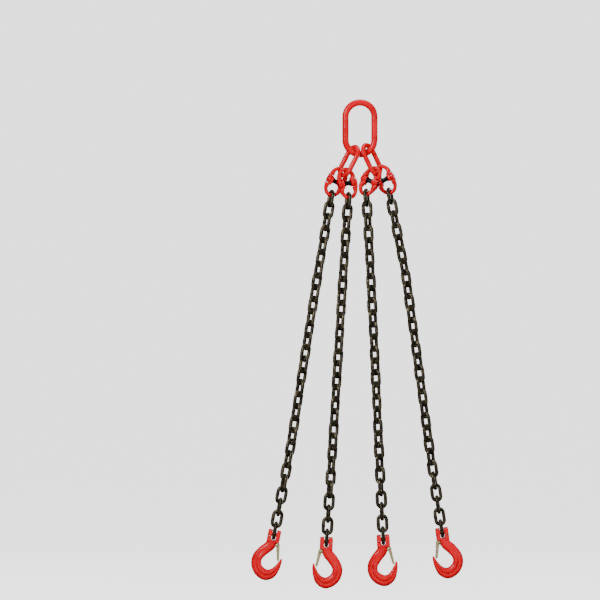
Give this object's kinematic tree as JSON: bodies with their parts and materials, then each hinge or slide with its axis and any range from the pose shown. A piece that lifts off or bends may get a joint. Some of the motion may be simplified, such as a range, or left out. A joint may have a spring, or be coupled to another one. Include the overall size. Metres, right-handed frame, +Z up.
{
  "type": "four leg chain sling",
  "caption": "Chain sling for lifting: a master link, paired intermediate links, pinned coupling links, chain legs and clevis hooks with sprung safety latches.",
  "frame": {"origin": "the inside of the master link's upper crown, where the crane hook bears", "axes": "+Z up along the hanging load line, +X across the fan of legs, +Y through the fan, away from the front"},
  "size_m": [0.4886, 0.0602, 1.1245],
  "materials": {
    "red_paint": "glossy red paint on forged alloy steel",
    "chain_steel": "black heat-treated chain, lightly oiled",
    "pin_steel": "blackened steel",
    "zinc": "pale yellow zinc plating",
    "spring_steel": "bare spring steel"
  },
  "bodies": {
    "master": {"master_link": "red_paint"},
    "intermediate_left": {"intermediate_link_left": "red_paint"},
    "intermediate_right": {"intermediate_link_right": "red_paint"},
    "coupling_1_upper": {"coupling_1_upper_half": "red_paint", "coupling_1_load_pin": "pin_steel", "coupling_1_sleeve": "pin_steel"},
    "coupling_1_lower": {"coupling_1_lower_half": "red_paint"},
    "chain_1_part_1": {"chain_1_segment_1": "chain_steel"},
    "chain_1_part_2": {"chain_1_segment_2": "chain_steel"},
    "chain_1_part_3": {"chain_1_segment_3": "chain_steel"},
    "chain_1_part_4": {"chain_1_segment_4": "chain_steel"},
    "hook_1": {"hook_1_body": "red_paint", "hook_1_clevis_pin": "zinc", "hook_1_roll_pin": "spring_steel", "hook_1_latch_rivet": "zinc", "hook_1_latch_spring": "spring_steel"},
    "latch_1": {"hook_1_latch": "zinc"},
    "coupling_2_upper": {"coupling_2_upper_half": "red_paint", "coupling_2_load_pin": "pin_steel", "coupling_2_sleeve": "pin_steel"},
    "coupling_2_lower": {"coupling_2_lower_half": "red_paint"},
    "chain_2_part_1": {"chain_2_segment_1": "chain_steel"},
    "chain_2_part_2": {"chain_2_segment_2": "chain_steel"},
    "chain_2_part_3": {"chain_2_segment_3": "chain_steel"},
    "chain_2_part_4": {"chain_2_segment_4": "chain_steel"},
    "hook_2": {"hook_2_body": "red_paint", "hook_2_clevis_pin": "zinc", "hook_2_roll_pin": "spring_steel", "hook_2_latch_rivet": "zinc", "hook_2_latch_spring": "spring_steel"},
    "latch_2": {"hook_2_latch": "zinc"},
    "coupling_3_upper": {"coupling_3_upper_half": "red_paint", "coupling_3_load_pin": "pin_steel", "coupling_3_sleeve": "pin_steel"},
    "coupling_3_lower": {"coupling_3_lower_half": "red_paint"},
    "chain_3_part_1": {"chain_3_segment_1": "chain_steel"},
    "chain_3_part_2": {"chain_3_segment_2": "chain_steel"},
    "chain_3_part_3": {"chain_3_segment_3": "chain_steel"},
    "chain_3_part_4": {"chain_3_segment_4": "chain_steel"},
    "hook_3": {"hook_3_body": "red_paint", "hook_3_clevis_pin": "zinc", "hook_3_roll_pin": "spring_steel", "hook_3_latch_rivet": "zinc", "hook_3_latch_spring": "spring_steel"},
    "latch_3": {"hook_3_latch": "zinc"},
    "coupling_4_upper": {"coupling_4_upper_half": "red_paint", "coupling_4_load_pin": "pin_steel", "coupling_4_sleeve": "pin_steel"},
    "coupling_4_lower": {"coupling_4_lower_half": "red_paint"},
    "chain_4_part_1": {"chain_4_segment_1": "chain_steel"},
    "chain_4_part_2": {"chain_4_segment_2": "chain_steel"},
    "chain_4_part_3": {"chain_4_segment_3": "chain_steel"},
    "chain_4_part_4": {"chain_4_segment_4": "chain_steel"},
    "hook_4": {"hook_4_body": "red_paint", "hook_4_clevis_pin": "zinc", "hook_4_roll_pin": "spring_steel", "hook_4_latch_rivet": "zinc", "hook_4_latch_spring": "spring_steel"},
    "latch_4": {"hook_4_latch": "zinc"}
  },
  "joints": [
    {"name": "intermediate_left_swing", "type": "hinge", "parent": "master", "child": "intermediate_left", "pos_m": [0, 0, -0.0784], "axis": [0, 1, 0], "range_deg": [0, 32]},
    {"name": "intermediate_right_swing", "type": "hinge", "parent": "master", "child": "intermediate_right", "pos_m": [0, 0, -0.0784], "axis": [0, -1, 0], "range_deg": [0, 32]},
    {"name": "coupling_1_swing", "type": "hinge", "parent": "intermediate_left", "child": "coupling_1_upper", "pos_m": [-0.04532, 0.01121, -0.15192], "axis": [-0.0471, 0.6302, 0.775], "range_deg": [0, 35]},
    {"name": "coupling_1_pin_turn", "type": "hinge", "parent": "coupling_1_upper", "child": "coupling_1_lower", "pos_m": [-0.05534, 0.00502, -0.17497], "axis": [-0.8715, -0.2233, 0.4365], "range_deg": [-45, 34]},
    {"name": "chain_1_top_swing", "type": "hinge", "parent": "coupling_1_lower", "child": "chain_1_part_1", "pos_m": [-0.06427, 0.00705, -0.1953], "axis": [-0.3694, 0.9272, 0.0625], "range_deg": [0, 25]},
    {"name": "chain_1_bend_2", "type": "hinge", "parent": "chain_1_part_1", "child": "chain_1_part_2", "pos_m": [-0.09803, 0.00705, -0.39486], "axis": [-0.6316, 0.7679, 0.1068], "range_deg": [-30, 30]},
    {"name": "chain_1_bend_3", "type": "hinge", "parent": "chain_1_part_2", "child": "chain_1_part_3", "pos_m": [-0.12698, 0.00705, -0.57757], "axis": [-0.6926, 0.7131, 0.1085], "range_deg": [-30, 30]},
    {"name": "chain_1_bend_4", "type": "hinge", "parent": "chain_1_part_3", "child": "chain_1_part_4", "pos_m": [-0.1583, 0.00705, -0.77753], "axis": [-0.6935, 0.7122, 0.1086], "range_deg": [-30, 30]},
    {"name": "hook_1_swing", "type": "hinge", "parent": "chain_1_part_4", "child": "hook_1", "pos_m": [-0.1972, 0.00705, -0.98662], "axis": [-0.9781, 0, 0.2079], "range_deg": [-60, 60]},
    {"name": "latch_1_turn", "type": "hinge", "parent": "hook_1", "child": "latch_1", "pos_m": [-0.18965, 0.00705, -1.01122], "axis": [0, 1, 0], "range_deg": [0, 32], "stiffness_Nm_per_rad": 0.08, "springref_deg": -28.65},
    {"name": "coupling_2_swing", "type": "hinge", "parent": "intermediate_left", "child": "coupling_2_upper", "pos_m": [-0.03284, -0.01121, -0.15827], "axis": [-0.6547, 0.6302, -0.4174], "range_deg": [0, 5]},
    {"name": "coupling_2_pin_turn", "type": "hinge", "parent": "coupling_2_upper", "child": "coupling_2_lower", "pos_m": [-0.02939, -0.00853, -0.17912], "axis": [-0.9403, -0.2824, -0.1901], "range_deg": [-35, 45]},
    {"name": "chain_2_top_swing", "type": "hinge", "parent": "coupling_2_lower", "child": "chain_2_part_1", "pos_m": [-0.02626, -0.01093, -0.20111], "axis": [-0.3738, 0.9272, 0.0248], "range_deg": [0, 10]},
    {"name": "chain_2_bend_2", "type": "hinge", "parent": "chain_2_part_1", "child": "chain_2_part_2", "pos_m": [-0.03968, -0.01093, -0.40307], "axis": [-0.6391, 0.7679, 0.0425], "range_deg": [-30, 30]},
    {"name": "chain_2_bend_3", "type": "hinge", "parent": "chain_2_part_2", "child": "chain_2_part_3", "pos_m": [-0.05097, -0.01093, -0.58771], "axis": [-0.6998, 0.7131, 0.0428], "range_deg": [-30, 30]},
    {"name": "chain_2_bend_4", "type": "hinge", "parent": "chain_2_part_3", "child": "chain_2_part_4", "pos_m": [-0.06333, -0.01093, -0.78973], "axis": [-0.7006, 0.7122, 0.0429], "range_deg": [-30, 30]},
    {"name": "hook_2_swing", "type": "hinge", "parent": "chain_2_part_4", "child": "hook_2", "pos_m": [-0.07724, -0.01093, -1.00195], "axis": [-0.999, 0, 0.0436], "range_deg": [-60, 60]},
    {"name": "latch_2_turn", "type": "hinge", "parent": "hook_2", "child": "latch_2", "pos_m": [-0.09071, -0.01093, -1.02388], "axis": [0, -1, 0], "range_deg": [0, 32], "stiffness_Nm_per_rad": 0.08, "springref_deg": -28.65},
    {"name": "coupling_3_swing", "type": "hinge", "parent": "intermediate_right", "child": "coupling_3_upper", "pos_m": [0.03202, -0.01217, -0.15417], "axis": [-0.6532, -0.5547, 0.5154], "range_deg": [0, 30]},
    {"name": "coupling_3_pin_turn", "type": "hinge", "parent": "coupling_3_upper", "child": "coupling_3_lower", "pos_m": [0.02307, -0.01342, -0.17379], "axis": [-0.8078, 0.4831, 0.3376], "range_deg": [-45, 45]},
    {"name": "chain_3_top_swing", "type": "hinge", "parent": "coupling_3_lower", "child": "chain_3_part_1", "pos_m": [0.01377, -0.01996, -0.19454], "axis": [-0.3741, -0.9272, -0.0203], "range_deg": [0, 25]},
    {"name": "chain_3_bend_2", "type": "hinge", "parent": "chain_3_part_1", "child": "chain_3_part_2", "pos_m": [0.02429, -0.01996, -0.38795], "axis": [-0.7656, 0.6423, -0.0374], "range_deg": [-30, 30]},
    {"name": "chain_3_bend_3", "type": "hinge", "parent": "chain_3_part_2", "child": "chain_3_part_3", "pos_m": [0.03418, -0.01996, -0.5901], "axis": [-0.7637, 0.6445, -0.0374], "range_deg": [-30, 30]},
    {"name": "chain_3_bend_4", "type": "hinge", "parent": "chain_3_part_3", "child": "chain_3_part_4", "pos_m": [0.04255, -0.01996, -0.7749], "axis": [-0.8302, 0.5561, -0.0392], "range_deg": [-25, 25]},
    {"name": "hook_3_swing", "type": "hinge", "parent": "chain_3_part_4", "child": "hook_3", "pos_m": [0.05294, -0.01996, -0.99603], "axis": [-0.9986, 0, -0.0523], "range_deg": [-60, 60]},
    {"name": "latch_3_turn", "type": "hinge", "parent": "hook_3", "child": "latch_3", "pos_m": [0.0666, -0.01996, -1.01785], "axis": [0, 1, 0], "range_deg": [0, 32], "stiffness_Nm_per_rad": 0.08, "springref_deg": -28.65},
    {"name": "coupling_4_swing", "type": "hinge", "parent": "intermediate_right", "child": "coupling_4_upper", "pos_m": [0.04688, 0.01325, -0.14547], "axis": [0.044, -0.4873, -0.8721], "range_deg": [0, 35]},
    {"name": "coupling_4_pin_turn", "type": "hinge", "parent": "coupling_4_upper", "child": "coupling_4_lower", "pos_m": [0.0577, 0.00814, -0.16982], "axis": [-0.8823, 0.1929, -0.4293], "range_deg": [-45, 45]},
    {"name": "chain_4_top_swing", "type": "hinge", "parent": "coupling_4_lower", "child": "chain_4_part_1", "pos_m": [0.06614, 0.01254, -0.18919], "axis": [-0.3675, -0.9272, -0.0728], "range_deg": [0, 22]},
    {"name": "chain_4_bend_2", "type": "hinge", "parent": "chain_4_part_1", "child": "chain_4_part_2", "pos_m": [0.10424, 0.01254, -0.37912], "axis": [-0.759, 0.6423, -0.1067], "range_deg": [-30, 30]},
    {"name": "chain_4_bend_3", "type": "hinge", "parent": "chain_4_part_2", "child": "chain_4_part_3", "pos_m": [0.13241, 0.01254, -0.57955], "axis": [-0.7572, 0.6445, -0.1064], "range_deg": [-30, 30]},
    {"name": "chain_4_bend_4", "type": "hinge", "parent": "chain_4_part_3", "child": "chain_4_part_4", "pos_m": [0.15676, 0.01254, -0.76293], "axis": [-0.8222, 0.5561, -0.1214], "range_deg": [-25, 25]},
    {"name": "hook_4_swing", "type": "hinge", "parent": "chain_4_part_4", "child": "hook_4", "pos_m": [0.18916, 0.01254, -0.98192], "axis": [-0.9903, 0, -0.1392], "range_deg": [-60, 60]},
    {"name": "latch_4_turn", "type": "hinge", "parent": "hook_4", "child": "latch_4", "pos_m": [0.17991, 0.01254, -1.00594], "axis": [0, -1, 0], "range_deg": [0, 32], "stiffness_Nm_per_rad": 0.08, "springref_deg": -28.65}
  ]
}
